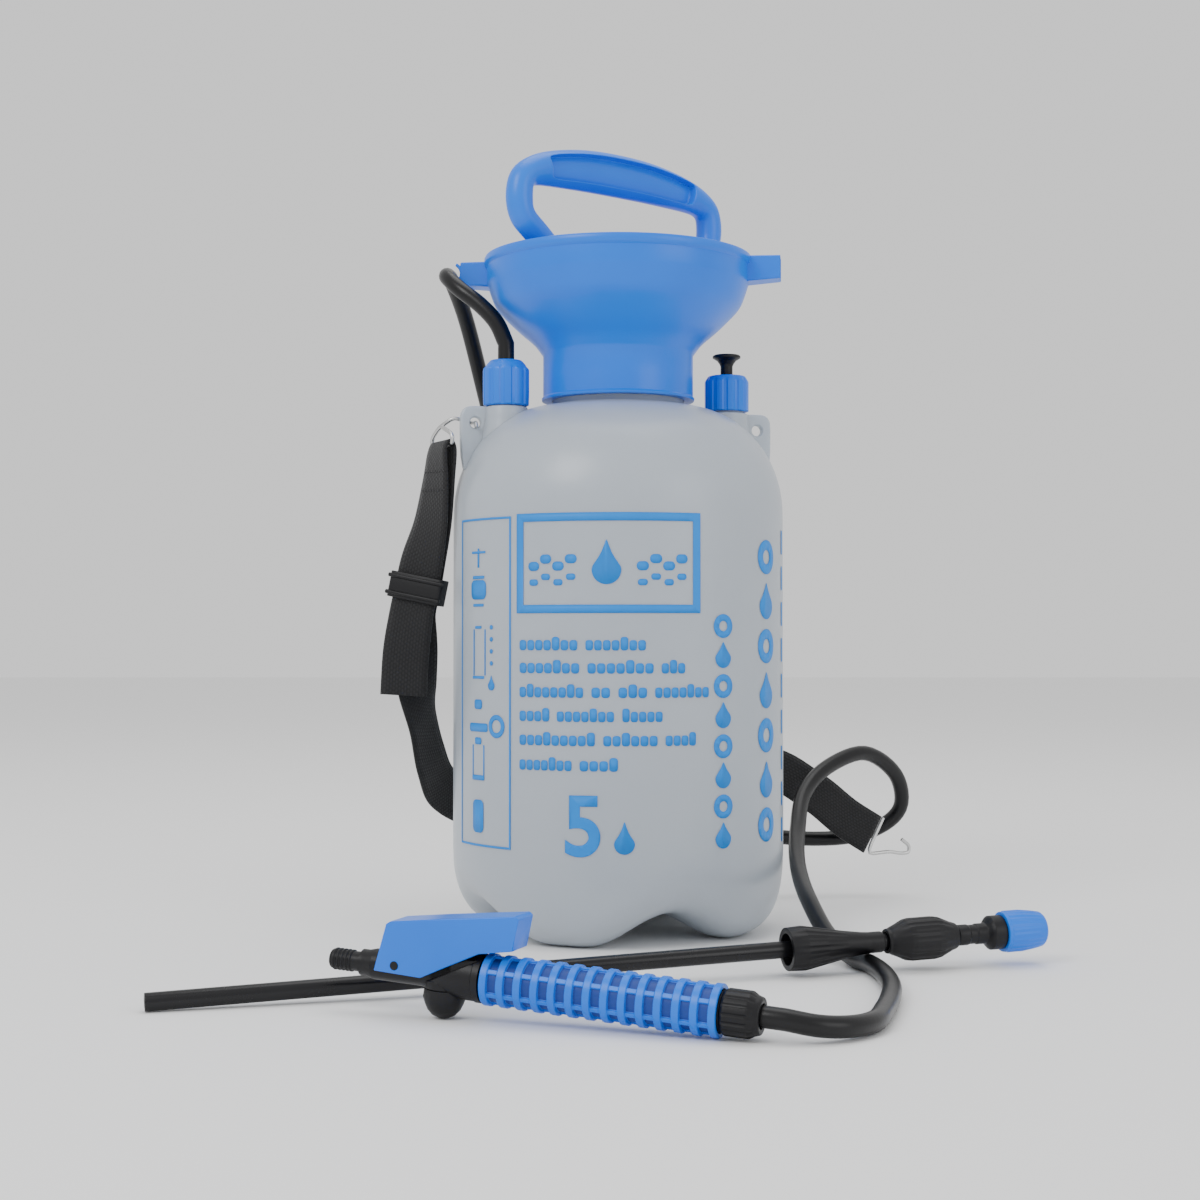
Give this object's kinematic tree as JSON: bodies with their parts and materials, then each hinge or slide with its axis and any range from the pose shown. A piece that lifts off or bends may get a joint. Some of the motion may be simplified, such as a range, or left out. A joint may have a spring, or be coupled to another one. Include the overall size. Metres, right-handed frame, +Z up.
{
  "type": "pump sprayer",
  "caption": "Hand-pumped garden pressure sprayer: translucent tank with filling funnel and plunger pump, hose, trigger gun, loose lance and a carry strap.",
  "frame": {"origin": "on the floor, under the middle of the box of everything but the hose", "axes": "+Z up; +X to the right of the tank's printed front; +Y from the front to the back"},
  "size_m": [0.412, 0.4349, 0.4234],
  "materials": {
    "milky_plastic": "translucent blow-moulded polyethylene",
    "blue_plastic": "satin moulded polypropylene",
    "black_plastic": "fine satin moulding",
    "white_plastic": "satin moulding",
    "black_rubber": "matt moulded rubber",
    "hose_rubber": "smooth extruded hose",
    "clear_tube": "semi-clear extruded tube",
    "webbing": "woven polypropylene webbing",
    "steel": "bright zinc-plated wire and drawn rod"
  },
  "bodies": {
    "root": {"tank": "milky_plastic", "funnel": "blue_plastic", "outlet_nut": "blue_plastic", "relief_nut": "blue_plastic", "grip_sleeve": "blue_plastic", "relief_body": "black_plastic", "gun_body": "black_plastic", "valve_cap": "black_plastic", "hose_nut": "black_plastic", "hose_tail": "black_plastic", "strap_adjuster": "black_plastic", "hose": "hose_rubber", "outlet_tail": "white_plastic", "dip_filter": "white_plastic", "grip_filter": "white_plastic", "dip_tube": "clear_tube", "funnel_gasket": "black_rubber", "outlet_seal": "black_rubber", "relief_gasket": "black_rubber", "stem_gland": "black_rubber", "relief_spring": "steel", "valve_spring": "steel", "lever_pin": "steel", "strap_hook": "steel", "strap_free_hook": "steel", "strap": "webbing"},
    "pump_gasket_ring": {"pump_gasket": "black_rubber"},
    "pump": {"pump_barrel": "white_plastic", "pump_cap": "blue_plastic", "check_valve": "black_rubber", "check_valve_cage": "white_plastic"},
    "plunger": {"piston_rod": "steel", "pump_handle": "blue_plastic", "handle_pin": "steel", "piston": "white_plastic", "piston_ring": "black_rubber", "piston_screw": "steel"},
    "relief_valve": {"relief_knob": "black_plastic", "relief_seal": "black_rubber"},
    "lever": {"gun_lever": "blue_plastic"},
    "gun_valve": {"valve_stem": "white_plastic", "valve_seal": "black_rubber"},
    "lance": {"lance_tube": "black_plastic", "nozzle_coupling": "black_plastic", "nozzle_body": "black_plastic", "nozzle_core": "white_plastic"},
    "lance_nut": {"lance_nut": "black_plastic", "lance_seal": "black_rubber"},
    "nozzle_seal_ring": {"nozzle_seal": "black_rubber"},
    "nozzle_cap": {"nozzle_cap": "blue_plastic"}
  },
  "joints": [
    {"name": "pump_unscrew_lift", "type": "slide", "parent": "root", "child": "pump_gasket_ring", "axis": [0, 0, 1], "range_m": [0, 0.01201]},
    {"name": "pump_unscrew_turn", "type": "hinge", "parent": "pump_gasket_ring", "child": "pump", "pos_m": [-0.002, 0.0865, 0.3155], "axis": [0, 0, 1], "range_deg": [0, 1080]},
    {"name": "pump_stroke", "type": "slide", "parent": "pump", "child": "plunger", "axis": [0, 0, 1], "range_m": [0, 0.214]},
    {"name": "relief_pull", "type": "slide", "parent": "root", "child": "relief_valve", "axis": [0, 0, 1], "range_m": [0, 0.005], "stiffness_N_per_m": 600, "springref_m": -0.003, "deforming": ["relief_spring"]},
    {"name": "lever_press", "type": "hinge", "parent": "root", "child": "lever", "pos_m": [-0.09502, -0.15275, 0.02209], "axis": [0.3414, 0.9399, 0], "range_deg": [0, 4], "stiffness_Nm_per_rad": 0.5, "springref_deg": -5.73},
    {"name": "valve_slide", "type": "slide", "parent": "root", "child": "gun_valve", "axis": [-0.0602, 0.0219, -0.9979], "range_m": [0, 0.00145], "stiffness_N_per_m": 20, "springref_m": -0.002, "deforming": ["valve_spring"]},
    {"name": "lance_lift", "type": "slide", "parent": "root", "child": "lance", "axis": [0, 0, 1], "range_m": [0, 0.15]},
    {"name": "lance_nut_slide", "type": "slide", "parent": "lance", "child": "lance_nut", "axis": [-0.9589, -0.2822, -0.03], "range_m": [0, 0.285]},
    {"name": "nozzle_advance", "type": "slide", "parent": "lance", "child": "nozzle_seal_ring", "axis": [0.9589, 0.2822, 0.03], "range_m": [0, 0.00226]},
    {"name": "nozzle_turn", "type": "hinge", "parent": "nozzle_seal_ring", "child": "nozzle_cap", "pos_m": [0.19282, -0.02928, 0.01666], "axis": [0.9589, 0.2822, 0.03], "range_deg": [0, 540]}
  ],
  "couplings": [
    {"joint": "pump_unscrew_lift", "follows": "pump_unscrew_turn", "m_per_rad": 0.00063662},
    {"joint": "nozzle_advance", "follows": "nozzle_turn", "m_per_rad": 0.00023873},
    {"joint": "valve_slide", "follows": "lever_press", "m_per_rad": 0.0201}
  ]
}
